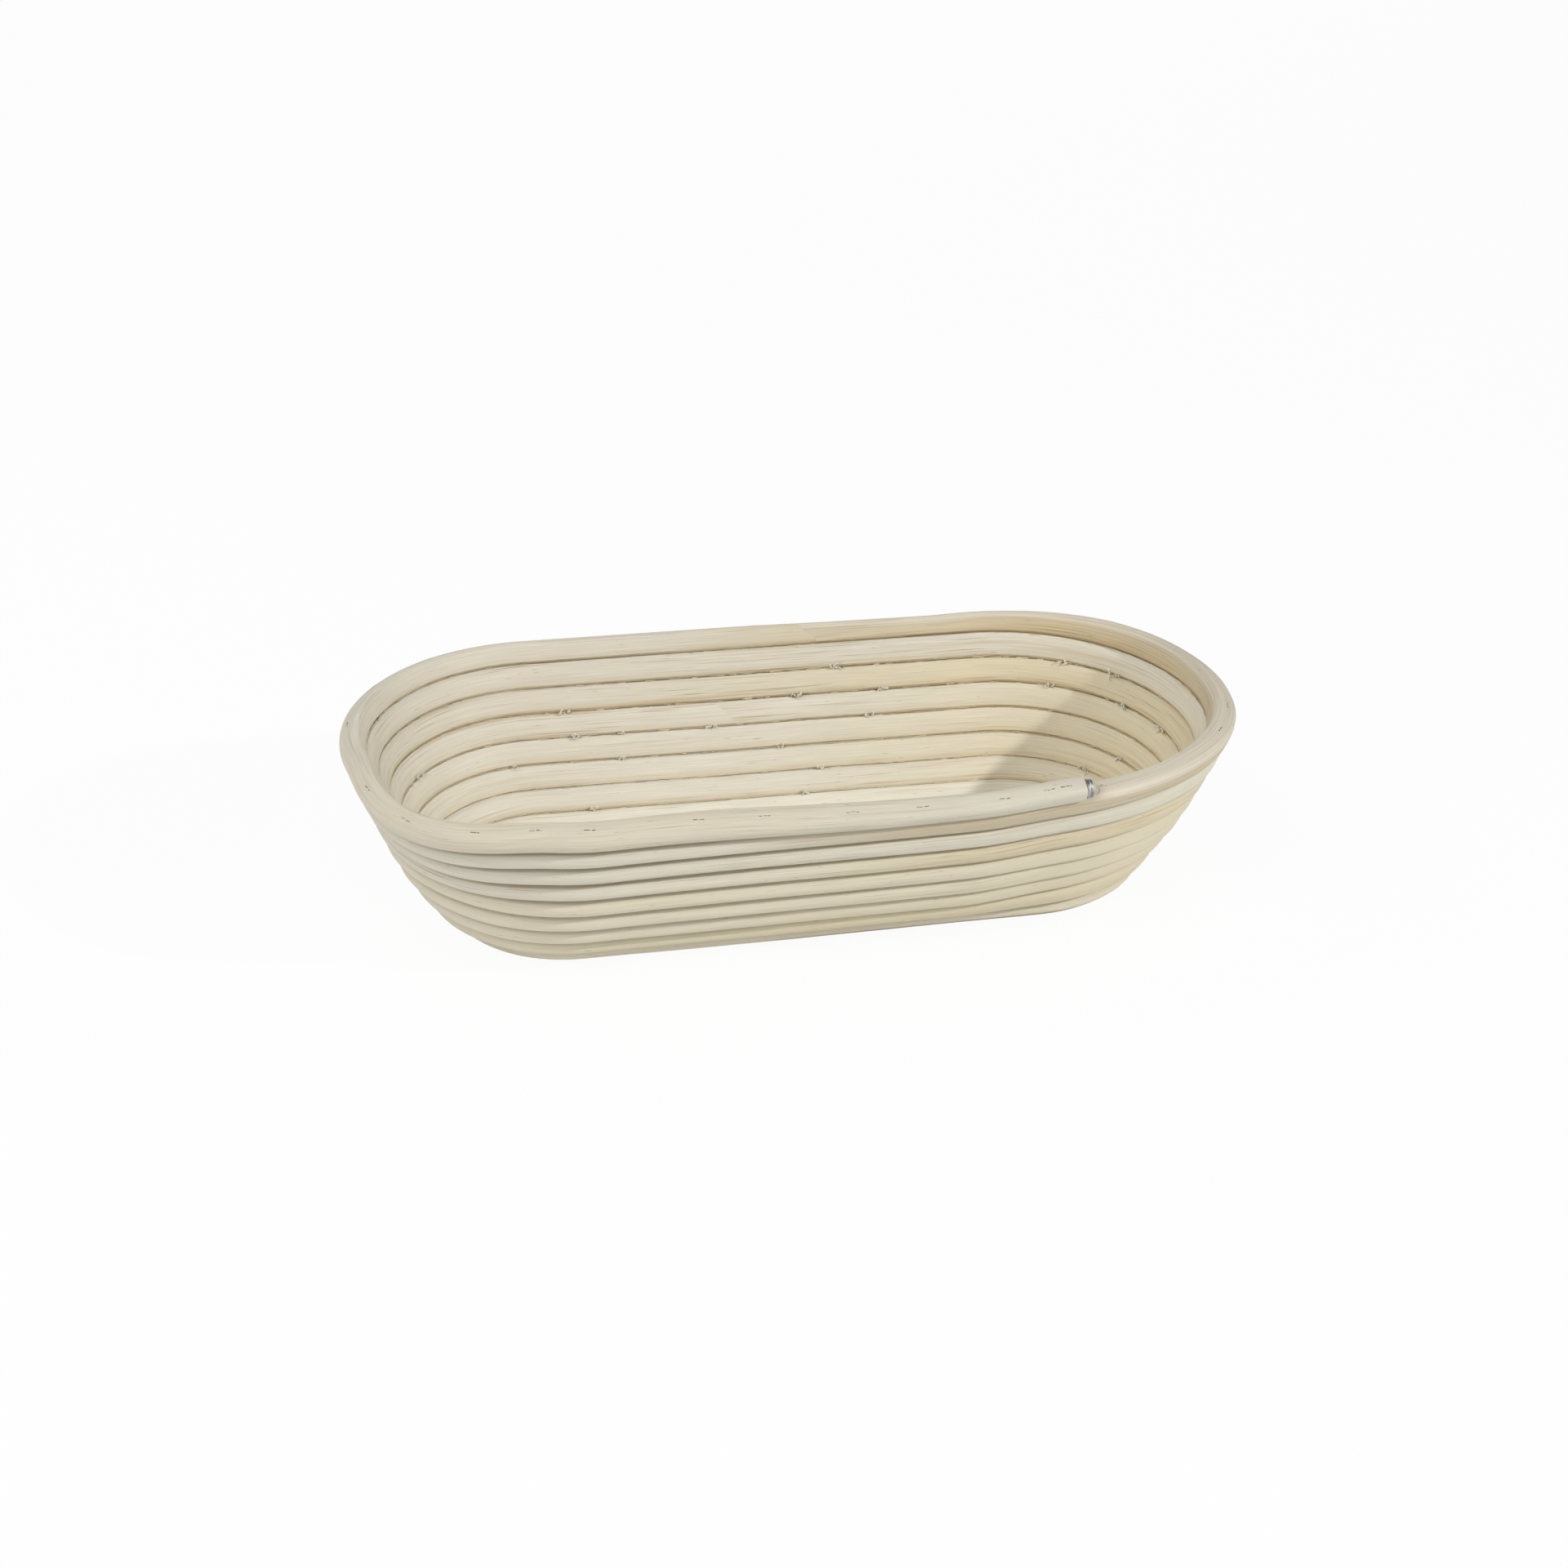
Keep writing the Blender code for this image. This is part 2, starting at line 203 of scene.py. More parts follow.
def profile(turn):
    """Reach, height and slope of the wall at a count of turns."""
    along = turn * PITCH
    floor = min(along, FLOOR_TURNS * PITCH)
    corner = clamp(along - floor, CORNER_TURNS * PITCH)
    bend = clamp(along - floor - corner, BEND_TURNS * PITCH)
    wall = along - floor - corner - bend
    corner_slope = corner / CORNER_RADIUS
    bend_slope = KNEE_SLOPE + bend / BEND_RADIUS
    reach = PITCH / 8 + floor
    reach += CORNER_RADIUS * math.sin(corner_slope)
    reach += BEND_RADIUS * (math.sin(bend_slope) - math.sin(KNEE_SLOPE))
    reach += wall * math.cos(WALL_SLOPE)
    height = FLOOR_HEIGHT
    height += CORNER_RADIUS * (1 - math.cos(corner_slope))
    height += BEND_RADIUS * (math.cos(KNEE_SLOPE) - math.cos(bend_slope))
    height += wall * math.sin(WALL_SLOPE)
    return reach, height, corner_slope + bend_slope - KNEE_SLOPE


def wall_lean(turn, lean):
    """How far the wall leans out at a count of turns, in one of the leaning stretches."""
    off = (turn - lean.middle + 0.5) % 1 - 0.5
    share = max(0.0, 1 - (off / lean.half) ** 2)
    return lean.angle * share * share


def cane_share(turn, table=RIM_THICKNESS):
    """Thickness of the cane at a count of turns, against the full cane."""
    if TURNS - turn > 1:
        return 1.0
    back, shares = zip(*table)
    return float(np.interp(TURNS - turn, back, shares))


def wall_way(outward, slope):
    return outward * math.cos(slope) + Vector((0, 0, math.sin(slope)))


def coil_place(turn):
    """Point on the coil's middle line, the way out from the basket there, and the wall's slope."""
    quarter = math.floor(turn * 4)
    share = turn * 4 - quarter
    first = profile(quarter / 4)[0]
    last = profile((quarter + 1) / 4)[0]
    height, wall_slope = profile(turn)[1:]
    side = quarter % 4
    facing = -1 if side < 2 else 1
    if side % 2 == 0:
        outward = Vector((0, facing, 0))
        x = -facing * STRAIGHT / 2 * (2 * share - 1)
        y = facing * (first + (last - first) * share)
    else:
        angle = math.pi * (facing / 2 + share)
        outward = Vector((math.cos(angle), math.sin(angle), 0))
        radius = (first + last) / 2
        x = -facing * STRAIGHT / 2 + radius * outward.x
        y = -facing * (last - first) / 2 + radius * outward.y
    point = Vector((x, y + PITCH / 4, height))
    slope = wall_slope
    leans = [(RIM_LEAN * ease(((turn - TURNS) * 4 * STRAIGHT + LEAN_START) / LEAN_RUN), 1.0)]
    leans += [(wall_lean(turn, lean), clamp(turn - lean.first, lean.turns)) for lean in LEANS]
    for angle, turns in leans:
        point += (wall_way(outward, wall_slope - angle) - wall_way(outward, wall_slope)) * PITCH * turns
        slope -= angle * min(turns, 1.0)
    point += wall_way(outward, slope) * (cane_share(turn) - 1) * CANE / 2
    return Place(point, outward, slope)


def along_cane(turn):
    step = 1e-4
    return (coil_place(turn + step).point - coil_place(turn - step).point).normalized()


def walk_turns(first, last, step=1e-3):
    """Counts of turns from first to last, and the metres walked along the coil to each."""
    turns = np.linspace(first, last, max(2, math.ceil((last - first) / step)))
    points = np.array([coil_place(turn).point for turn in turns])
    metres = np.concatenate([[0], np.cumsum(np.linalg.norm(np.diff(points, axis=0), axis=1))])
    return turns, metres


RIM_END = TURNS + END_PAST_SIDE / (math.pi * 4 * END_RADIUS)
LENGTHS = (
    Length("base_reed", "floor_cane", 0.0, LOWER_JOINT),
    Length("lower_wall_reed", "cream_cane", LOWER_JOINT, UPPER_JOINT),
    Length("upper_wall_reed", "tan_cane", UPPER_JOINT, RIM_JOINT),
    Length("rim_reed", "pale_cane", RIM_JOINT, RIM_END),
)


# Shader nodes

class Wire:
    """An output of a shader node. Arithmetic on it adds Math nodes."""

    def __init__(self, finish, socket):
        self.finish = finish
        self.socket = socket

    def math(self, operation, *values):
        return self.finish.node("ShaderNodeMath", {"operation": operation}, dict(enumerate(values)))

    def __add__(self, other):
        return self.math("ADD", self, other)

    def __radd__(self, other):
        return self.math("ADD", other, self)

    def __rsub__(self, other):
        return self.math("SUBTRACT", other, self)

    def __mul__(self, other):
        return self.math("MULTIPLY", self, other)


class Finish:
    """A node material in the making."""

    def __init__(self, name):
        self.material = bpy.data.materials.new(name)
        self.material.use_nodes = True
        self.tree = self.material.node_tree
        self.tree.nodes.clear()

    def node(self, kind, settings=None, inputs=None, output=0):
        """Add a node: its settings first, then the values or wires of its sockets."""
        node = self.tree.nodes.new(kind)
        for name, value in (settings or {}).items():
            if name == "stops":
                ramp = node.color_ramp.elements
                while len(ramp) < len(value):
                    ramp.new(1.0)
                for element, (position, colour) in zip(ramp, value):
                    element.position = position
                    element.color = (*colour, 1)
            else:
                setattr(node, name, value)
        for name, value in (inputs or {}).items():
            if isinstance(value, Wire):
                self.tree.links.new(value.socket, node.inputs[name])
            else:
                node.inputs[name].default_value = value
        return Wire(self, node.outputs[output]) if node.outputs else None

    def noise(self, vector, scales, detail=2.0, roughness=0.5):
        """Noise on a vector that is scaled by its own amount along each axis."""
        scaled = self.node("ShaderNodeVectorMath", {"operation": "MULTIPLY"}, {0: vector, 1: scales})
        inputs = {"Vector": scaled, "Scale": 1.0, "Detail": detail, "Roughness": roughness}
        return self.node("ShaderNodeTexNoise", {}, inputs)

    def rise(self, value, low, high):
        """0 below low, 1 above high, and smooth between."""
        inputs = {"Value": value, "From Min": low, "From Max": high}
        return self.node("ShaderNodeMapRange", {"interpolation_type": "SMOOTHSTEP"}, inputs)

    def mix(self, share, first, second, blend="MIX"):
        """Two colours, mixed."""
        settings = {"data_type": "RGBA", "blend_type": blend}
        return self.node("ShaderNodeMix", settings, {0: share, 6: first, 7: second}, output=2)

    def bump(self, height, strength, distance):
        return self.node("ShaderNodeBump", {}, {"Height": height, "Strength": strength, "Distance": distance})

    def surface(self, **sockets):
        """The Principled surface, with its sockets given by name."""
        inputs = {name.replace("_", " ").title(): value for name, value in sockets.items()}
        shader = self.node("ShaderNodeBsdfPrincipled", {}, inputs)
        self.node("ShaderNodeOutputMaterial", {}, {"Surface": shader})
        return self.material


def rgba(colour):
    return (*colour, 1.0)


# Colours, as they look in plain light, but for the shade colours and the rim's colours, which carry painted
# shade
IVORY = (0.77, 0.72, 0.60)
LIGHT_IVORY = (0.80, 0.755, 0.635)
WHITE_CANE = (0.765, 0.72, 0.592)
CREAM = (0.79, 0.735, 0.585)
HONEY = (0.77, 0.685, 0.485)
DEEP_HONEY = (0.75, 0.655, 0.455)
TAN = (0.64, 0.555, 0.395)
WARM_TAN = (0.69, 0.575, 0.365)
LIGHT_TAN = (0.72, 0.64, 0.475)
PALE_TAN = (0.78, 0.725, 0.60)
FLOOR_CREAM = (0.825, 0.775, 0.635)
FLOOR_LIGHT = (0.87, 0.83, 0.70)
# The rim's colours are darkened with painted shade, against the stronger light on its top
SHADED_RIM_LEFT = (0.72, 0.65, 0.508)
SHADED_RIM_MIDDLE = (0.708, 0.653, 0.525)
SHADED_RIM_RIGHT = (0.70, 0.655, 0.535)
OUTSIDE_WARM = (0.78, 0.705, 0.51)
STREAK_TAN = (0.60, 0.45, 0.25)
STREAK_BROWN = (0.42, 0.29, 0.16)
# Painted shade under each turn and on top of the turn below, on the outside
SHADE_OLIVE = (0.34, 0.275, 0.16)
# Painted shade in the grooves, and the painted shadow along the foot
SHADE_BROWN = (0.27, 0.18, 0.095)
FLECK_BROWN = (0.20, 0.13, 0.07)
TORN_BROWN = (0.36, 0.265, 0.165)
TIP_GREY = (0.5, 0.45, 0.37)
CURL_WHITE = (0.88, 0.85, 0.77)
WIRE_GREY = (0.42, 0.40, 0.37)
BAND_GREY = (0.52, 0.51, 0.49)
DULL_SHARE = 0.55
WIRE_ROUGHNESS = 0.35
BAND_ROUGHNESS = 0.36

# Colour along each length of cane, by count of turns. The honey stops from the front right round the
# right-hand end are partly the cane's own tone and partly painted light: warm light bounced into the shade
# there
TONES = {
    "base_reed": ((0.0, FLOOR_CREAM), (4.2, FLOOR_CREAM), (4.35, CREAM), (4.6, FLOOR_LIGHT)),
    "lower_wall_reed": (
        (4.7, FLOOR_LIGHT), (4.95, CREAM), (5.12, HONEY), (5.35, HONEY), (5.6, LIGHT_IVORY),
        (5.95, LIGHT_IVORY), (6.15, CREAM), (6.4, HONEY), (6.65, LIGHT_IVORY), (7.2, CREAM), (7.4, HONEY),
        (7.65, LIGHT_IVORY), (8.2, CREAM), (8.4, HONEY), (8.6, LIGHT_IVORY)),
    "upper_wall_reed": (
        (8.66, LIGHT_IVORY), (8.95, IVORY), (9.1, CREAM), (9.2, DEEP_HONEY), (9.34, DEEP_HONEY), (9.5, HONEY),
        (9.72, IVORY), (10.0, WHITE_CANE), (10.27, WHITE_CANE), (10.36, CREAM), (10.5, IVORY), (11.06, IVORY),
        (11.16, TAN), (11.36, TAN), (11.46, WARM_TAN), (11.58, LIGHT_TAN)),
    "rim_reed": (
        (11.6, LIGHT_TAN), (11.67, IVORY), (11.86, IVORY), (11.95, SHADED_RIM_LEFT), (12.1, SHADED_RIM_MIDDLE),
        (12.25, SHADED_RIM_RIGHT)),
}
# Painted shadow along the foot, by count of turns: where it begins, is full, fades and stops
FOOT_SHADOW_TURNS = (4.07, 4.15, 4.25, 4.3)
# Strength of the painted shade under each turn and on top of the one below, on the outside
OUTSIDE_SHADE = {"base_reed": 0.15, "lower_wall_reed": 0.4, "upper_wall_reed": 0.65, "rim_reed": 0.65}
STREAKINESS = {"base_reed": 0.5, "lower_wall_reed": 0.55, "upper_wall_reed": 0.9, "rim_reed": 0.5}
OUTSIDE_WARMTH = 0.4
# Strength of the painted shade towards each turn's lower edge on the inside
INSIDE_SHADE = 0.26
# Strength of the painted shade in the grooves where turns touch
GROOVE_SHADE = 0.7
# Strength of the painted shadow along the foot
FOOT_SHADOW_STRENGTH = 0.9
FLECK_STRENGTH = 0.4
FIBRE_DARKEST = 0.77
FIBRE_CONTRAST = 0.44
PALE_EDGE = 0.8
EDGE_WANDER = 0.5
RIM_LINES = 0.3
TIP_GREYNESS = 0.85
TIP_DARKNESS = 0.8

# Surface of the finishes; a bump has a strength and a depth
CANE_ROUGHNESS = 0.48
FIBRE_ROUGHNESS = 0.22
FIBRE_HEIGHT = 0.6
STREAK_HEIGHT = 0.4
CANE_BUMP = (0.35, 0.00025)
TORN_GRAIN = (900, 900, 900)
TORN_ROUGHNESS = 0.8
TORN_BUMP = (0.4, 0.0002)
LOOSE_PATCHES = (150, 150, 150)
LOOSE_BROWN = (0.4, 0.65)
LOOSE_ROUGHNESS = 0.6
LOOSE_BUMP = (0.2, 0.0001)
STEEL_PATCHES = (600, 600, 600)
STEEL_DULL = (0.4, 0.7)
STEEL_UNEVEN = 0.25
STEEL_BUMP = (0.15, 0.0001)

# Where marks on the cane begin and are full: in noise, or round the cane, where 1 is its very edge
STREAK_EDGE = (0.5, 0.78)
STREAK_PATCH = (0.35, 0.65)
LINE_EDGE = (0.6, 0.72)
LINE_PATCH = (0.3, 0.6)
RIM_LINE_EDGE = (0.5, 0.62)
FLECK_EDGE = (0.74, 0.79)
WARM_EDGE = (0.0, 0.5)
OUTSIDE_EDGE = (0.0, 0.3)
INSIDE_EDGE = (0.1, 0.6)
LOW_OUTSIDE = (0.4, 0.85)
HIGH_OUTSIDE = (0.68, 0.92)
LOW_INSIDE = (0.2, 0.75)
FOOT_EDGE = (-0.5, -0.25)
TOUCH_EDGE = (0.965, 1.0)
TAN_EDGE = (0.45, 0.8)
# In metres along the cane: round the start of the rim, past the ferrule, and before the very tip
RIM_FADE = (-0.002, 0.015)
TIP_FADE = (0.0, 0.0008)
TIP_DARK = (-0.0016, -0.0006)

# Grain of the cane, as scales of noise along it and across it
FIBRE_GRAIN = (45, 2600, 2600)
STREAK_GRAIN = (8, 900, 900)
LINE_GRAIN = (22, 2200, 2200)
STAIN_GRAIN = (7, 130, 130)
FLECK_GRAIN = (160, 1900, 1900)


def cane_finish(length):
    """Pale cane: fine fibres along it, broad streaks, dark flecks, and painted shade where turns touch and
    under each turn, with a painted shadow along the foot.
    """
    finish = Finish(f"{length.name}_cane")
    turns, metres = walk_turns(length.first, length.last)
    stops = [(float(np.interp(turn, turns, metres) / metres[-1]), colour)
             for turn, colour in TONES[length.name]]
    # Where on the cane: metres along it, and round it from its outside over its top
    run = finish.node("ShaderNodeUVMap", {"uv_map": "cane_run"})
    along = finish.node("ShaderNodeSeparateXYZ", {}, {"Vector": run}, output=0)
    around = finish.node("ShaderNodeSeparateXYZ", {}, {"Vector": run}, output=1) * math.tau
    across = around.math("COSINE", around)
    upward = around.math("SINE", around)
    inputs = {"X": along, "Y": across * REED_RADIUS, "Z": upward * REED_RADIUS}
    straight = finish.node("ShaderNodeCombineXYZ", {}, inputs)

    fibre = finish.noise(straight, FIBRE_GRAIN, detail=3.0, roughness=0.65)
    streak = finish.noise(straight, STREAK_GRAIN, detail=3.0, roughness=0.6)
    line = finish.noise(straight, LINE_GRAIN)
    stain = finish.noise(straight, STAIN_GRAIN)
    fleck = finish.noise(straight, FLECK_GRAIN, detail=1.0)

    # The cane's own colour, with streaks, lines and fibres
    colour = finish.node("ShaderNodeValToRGB", {"stops": stops}, {"Fac": along * (1 / metres[-1])})
    streaks = finish.rise(streak, *STREAK_EDGE) * finish.rise(stain, *STREAK_PATCH) * STREAKINESS[length.name]
    colour = finish.mix(streaks, colour, rgba(STREAK_TAN))
    lines = finish.rise(line, *LINE_EDGE) * finish.rise(stain, *LINE_PATCH) * STREAKINESS[length.name]
    colour = finish.mix(lines, colour, rgba(STREAK_BROWN))
    colour = finish.mix(1.0, colour, FIBRE_DARKEST + fibre * FIBRE_CONTRAST, "MULTIPLY")
    if length.first < UPPER_JOINT:
        warm = finish.rise(across, *WARM_EDGE) * OUTSIDE_WARMTH
        colour = finish.mix(warm, colour, rgba(OUTSIDE_WARM))
    # The last turn has nothing on top of it, so its top gets none of the painted shade
    rim_metres = float(np.interp(RIM_END - 1, turns, metres, left=-1.0))
    rim = finish.rise(along, *(rim_metres + fade for fade in RIM_FADE))
    # Painted shade where turns meet: broad on the outside, under each turn and on top of the turn below;
    # faint towards each turn's lower edge on the inside; brown in the groove itself
    low = finish.rise(upward * -1, *LOW_OUTSIDE)
    high = finish.rise(upward, *HIGH_OUTSIDE) * (1 - rim)
    painted_shade = (low + high) * finish.rise(across, *OUTSIDE_EDGE) * OUTSIDE_SHADE[length.name]
    colour = finish.mix(painted_shade, colour, rgba(SHADE_OLIVE))
    # Painted shade towards each turn's lower edge on the inside
    inside_lower_shade = finish.rise(upward * -1, *LOW_INSIDE) * finish.rise(across * -1, *INSIDE_EDGE)
    colour = finish.mix(inside_lower_shade * INSIDE_SHADE, colour, rgba(STREAK_TAN))
    # Painted shade in the groove where turns touch
    touch = finish.rise(upward.math("ABSOLUTE", upward), *TOUCH_EDGE)
    touch *= 1 - rim * upward.math("GREATER_THAN", upward, 0.0)
    colour = finish.mix(touch * GROOVE_SHADE, colour, rgba(SHADE_BROWN))
    # Painted shadow along the underside of the foot, under the overhang
    if length.name == "base_reed":
        begin, full, fade, stop = (float(np.interp(turn, turns, metres)) for turn in FOOT_SHADOW_TURNS)
        foot = finish.rise(along, begin, full) * (1 - finish.rise(along, fade, stop))
        foot *= finish.rise(upward * -1, *FOOT_EDGE) * finish.rise(across, *OUTSIDE_EDGE)
        colour = finish.mix(foot * FOOT_SHADOW_STRENGTH, colour, rgba(SHADE_BROWN))
    if length.name == "upper_wall_reed":
        edge = upward + streak * EDGE_WANDER
        colour = finish.mix(rim * finish.rise(edge, *TAN_EDGE) * PALE_EDGE, colour, rgba(PALE_TAN))
        rim_lines = rim * finish.rise(line, *RIM_LINE_EDGE) * RIM_LINES
        colour = finish.mix(rim_lines, colour, rgba(STREAK_BROWN))
    if length.name == "rim_reed":
        ferrule_end = metres[-1] + FERRULE_LENGTH
        tip = finish.rise(along, *(ferrule_end + fade for fade in TIP_FADE))
        colour = finish.mix(tip * TIP_GREYNESS, colour, rgba(TIP_GREY))
        tip_end = ferrule_end + 2 * SEAT_GAP + TIP_LENGTH
        dark_end = finish.rise(along, *(tip_end + fade for fade in TIP_DARK))
        colour = finish.mix(dark_end * TIP_DARKNESS, colour, rgba(FLECK_BROWN))
    flecks = finish.rise(fleck, *FLECK_EDGE) * FLECK_STRENGTH
    colour = finish.mix(flecks, colour, rgba(FLECK_BROWN))

    height = fibre * FIBRE_HEIGHT + streak * STREAK_HEIGHT
    return finish.surface(base_color=colour, roughness=CANE_ROUGHNESS + fibre * FIBRE_ROUGHNESS,
                          normal=finish.bump(height, *CANE_BUMP))


def torn_finish():
    """Torn fibres in the staple slots."""
    finish = Finish("torn_cane")
    place = finish.node("ShaderNodeTexCoord", output=3)
    grain = finish.noise(place, TORN_GRAIN)
    colour = finish.mix(grain, rgba(TORN_BROWN), rgba(STREAK_BROWN))
    return finish.surface(base_color=colour, roughness=TORN_ROUGHNESS, normal=finish.bump(grain, *TORN_BUMP))


def fibre_finish(name, pale, brown):
    """Inner fibres of the cane, browner here and there."""
    finish = Finish(name)
    place = finish.node("ShaderNodeTexCoord", output=3)
    patch = finish.noise(place, LOOSE_PATCHES, detail=3.0)
    colour = finish.mix(finish.rise(patch, *LOOSE_BROWN), rgba(pale), rgba(brown))
    return finish.surface(base_color=colour, roughness=LOOSE_ROUGHNESS,
                          normal=finish.bump(patch, *LOOSE_BUMP))


def steel_finish(name, tint, roughness):
    """Drawn steel, dulled in patches."""
    finish = Finish(name)
    place = finish.node("ShaderNodeTexCoord", output=3)
    dull = finish.noise(place, STEEL_PATCHES, detail=3.0)
    dulled = [part * DULL_SHARE for part in tint]
    colour = finish.mix(finish.rise(dull, *STEEL_DULL), rgba(tint), rgba(dulled))
    return finish.surface(base_color=colour, metallic=1.0, roughness=roughness + dull * STEEL_UNEVEN,
                          normal=finish.bump(dull, *STEEL_BUMP))


# Building the lengths of cane

noise.seed_set(SWAY_SEED)


def closed_mesh(bm, name):
    """The mesh of closed shapes, with their faces turned outward."""
    bmesh.ops.recalc_face_normals(bm, faces=bm.faces)
    mesh = bpy.data.meshes.new(name)
    bm.to_mesh(mesh)
    bm.free()
    return mesh


def thickness(turn, metres):
    """Share of the full thickness, a little uneven along the cane."""
    spot = Vector((metres / UNEVEN_RUN, turn * UNEVEN_TURN, UNEVEN_SLICE))
    return cane_share(turn, RIM_FULLNESS) + noise.noise(spot) * UNEVEN_THICKNESS


def sway(point):
    """Slow wander of the cane off its true line, shared by turns that lie side by side."""
    return noise.noise_vector(point / SWAY_RUN) * SWAY


def reed_stations(length):
    """Places along a length of cane, evenly spaced."""
    turns, metres = walk_turns(length.first, length.last)
    count = round(metres[-1] / STATION_STEP)
    stations = []
    for walked in np.linspace(0, metres[-1], count + 1):
        turn = float(np.interp(walked, metres, turns))
        place = coil_place(turn)
        along = along_cane(turn)
        up = wall_way(place.outward, place.slope)
        up = (up - along * up.dot(along)).normalized()
        share = thickness(turn, walked)
        radius = REED_RADIUS * share
        point = place.point + sway(place.point) + up * (share - cane_share(turn)) * REED_RADIUS
        stations.append(Station(walked, point, along, up, along.cross(up), radius, 1.0))
    return stations


def start_stations(first):
    """The rounded start of the coil, which fills the bend of the first turn."""
    stations = []
    for share in NOSE_SHARES:
        reach = NOSE_LENGTH * share
        point = first.point - first.along * reach
        radius = first.radius * max(math.sqrt(1 - share * share), NOSE_BLUNTNESS)
        stations.append(first._replace(metres=-reach, point=point, radius=radius))
    return stations


def cut_end_stations(last):
    """The rounded shoulder at the cut end, the pared neck in the ferrule, and the tip that drops."""
    neck = FERRULE_RADIUS - FERRULE_WALL - SEAT_GAP
    neck_end = FERRULE_LENGTH + 2 * SEAT_GAP
    # Reach past the end, radius, drop, and how much of the pressed section is left
    steps = (
        (0.0002, last.radius * 0.985, 0.0, 1.0),
        (0.00045, last.radius * 0.93, 0.0, 1.0),
        (0.0005, neck, 0.0, 0.0),
        (neck_end, neck, 0.0, 0.0),
        (neck_end + TIP_LENGTH * 0.3, neck * 0.72, 0.0009, 0.0),
        (neck_end + TIP_LENGTH * 0.8, TIP_RADIUS * 0.8, 0.0019, 0.0),
        (neck_end + TIP_LENGTH, TIP_RADIUS * 0.5, 0.0023, 0.0),
    )
    stations = []
    for reach, radius, drop, pressed in steps:
        point = last.point + last.along * reach - last.up * drop
        metres = last.metres + reach
        stations.append(last._replace(metres=metres, point=point, radius=radius, pressed=pressed))
    return stations


def swept_tube(name, stations):
    """Round tube along the stations, as a mesh with one ring of points for each."""
    curve = bpy.data.curves.new(name, "CURVE")
    curve.dimensions = "3D"
    curve.twist_mode = "Z_UP"
    curve.bevel_depth = 1.0
    curve.bevel_resolution = REED_SIDES // 2 - 2
    spline = curve.splines.new("POLY")
    spline.points.add(len(stations) - 1)
    for spot, station in zip(spline.points, stations):
        spot.co = (*station.point, 1)
        spot.radius = station.radius
    guide = bpy.data.objects.new(name, curve)
    bpy.context.scene.collection.objects.link(guide)
    graph = bpy.context.evaluated_depsgraph_get()
    tube = bpy.data.meshes.new_from_object(guide.evaluated_get(graph))
    bpy.data.objects.remove(guide)
    bpy.data.curves.remove(curve)
    return tube


def outside_squareness(point):
    """The cane is flatter on the outside toward the right."""
    share = ease(point.x / STRAIGHT - SQUARER_FROM)
    return OUTSIDE_SQUARENESS + (RIGHT_SQUARENESS - OUTSIDE_SQUARENESS) * share


def shape_reed(length, tube, stations):
    """Give a tube its pressed section, flutes, slanted ends, flat foot and map, and close its ends."""
    bm = bmesh.new()
    bm.from_mesh(tube)
    bm.verts.ensure_lookup_table()
    total = stations[-1].metres
    seed = Vector((0, 0, FLUTE_TURN * length.first))
    walked = {}
    angle = {}
    for vert in bm.verts:
        station = stations[vert.index // REED_SIDES]
        reach = vert.co - station.point
        turn = math.atan2(reach.dot(station.up), reach.dot(station.out))
        power = outside_squareness(station.point) if math.cos(turn) > 0 else INSIDE_SQUARENESS
        square = abs(math.cos(turn)) ** power + abs(math.sin(turn)) ** power
        vert.co = station.point + reach * (1 + (square ** (-1 / power) - 1) * station.pressed)
        around = (math.cos(turn) * FLUTE_ROUND, math.sin(turn) * FLUTE_ROUND)
        spot = Vector((station.metres / FLUTE_RUN, *around))
        vert.co += reach.normalized() * noise.noise(spot + seed) * FLUTE_DEPTH
        slant = math.sin(turn) * SCARF_LENGTH / 2
        shift = slant * clamp(1 - station.metres / SCARF_FADE) if length.first > 0 else 0.0
        if length.name != "rim_reed":
            shift += slant * clamp(1 - (total - station.metres) / SCARF_FADE)
        vert.co += station.along * shift
        vert.co.z = max(vert.co.z, 0.0)
        walked[vert] = station.metres + shift
        angle[vert] = turn
    bmesh.ops.holes_fill(bm, edges=[edge for edge in bm.edges if edge.is_boundary])
    run = bm.loops.layers.uv.new("cane_run")
    for face in bm.faces:
        face.smooth = True
        first = angle[face.loops[0].vert]
        for loop in face.loops:
            turn = angle[loop.vert]
            turn -= round((turn - first) / math.tau) * math.tau
            loop[run].uv = (walked[loop.vert], turn / math.tau)
    return closed_mesh(bm, length.name)


def link(name, mesh, finish):
    """Put a mesh in the scene, with its finish."""
    piece = bpy.data.objects.new(name, mesh)
    bpy.context.scene.collection.objects.link(piece)
    mesh.materials.append(finish)
    return piece


def settle(piece, node):
    """A finished piece, which stands for a node of the solids where one is named."""
    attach(piece, "root")
    if node:
        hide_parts(node)


def build_reed(length, slots):
    """A length of cane, with slots where staples are driven into it."""
    stations = reed_stations(length)
    if length.name == "base_reed":
        stations = start_stations(stations[0]) + stations
    if length.name == "rim_reed":
        stations += cut_end_stations(stations[-1])
    tube = swept_tube(length.name, stations)
    mesh = shape_reed(length, tube, stations)
    bpy.data.meshes.remove(tube)
    piece = link(f"{length.name}_cane", mesh, cane_finish(length))
    if length.last > RIM_END - 1:
        cut_slots(piece, slots)
    piece.data.set_sharp_from_angle(angle=CANE_SHARP)
    settle(piece, length.name)


# Staples

